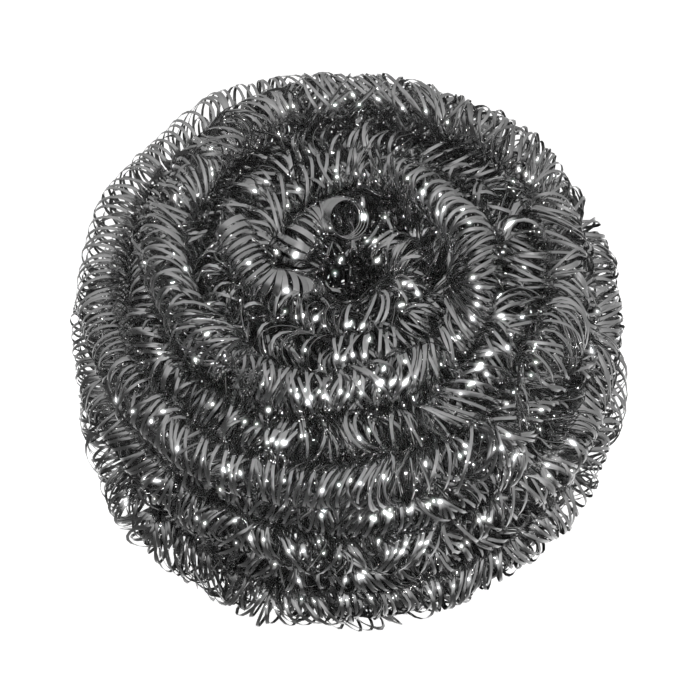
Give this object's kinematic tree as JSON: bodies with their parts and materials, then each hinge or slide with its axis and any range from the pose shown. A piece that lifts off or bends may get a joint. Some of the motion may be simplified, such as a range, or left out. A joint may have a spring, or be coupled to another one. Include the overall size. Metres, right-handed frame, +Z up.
{
  "type": "steel wool pad",
  "caption": "Squat round scouring pad wound from a long springy coil of flat stainless steel ribbon laid double, with both ends tucked into a shallow dimple in its top.",
  "frame": {"origin": "middle of the pad's footprint, on the plane that it rests on", "axes": "+Z up through the dimple in the top, +X to the right and +Y away from the viewer in the picture"},
  "size_m": [0.0804, 0.081, 0.0488],
  "materials": {
    "stainless_ribbon": "bright rolled ribbon with fine lengthwise streaks, shiny on its flat faces and dark between the loops"
  },
  "bodies": {
    "root": {"steel_wool_pad": "stainless_ribbon"}
  },
  "joints": []
}
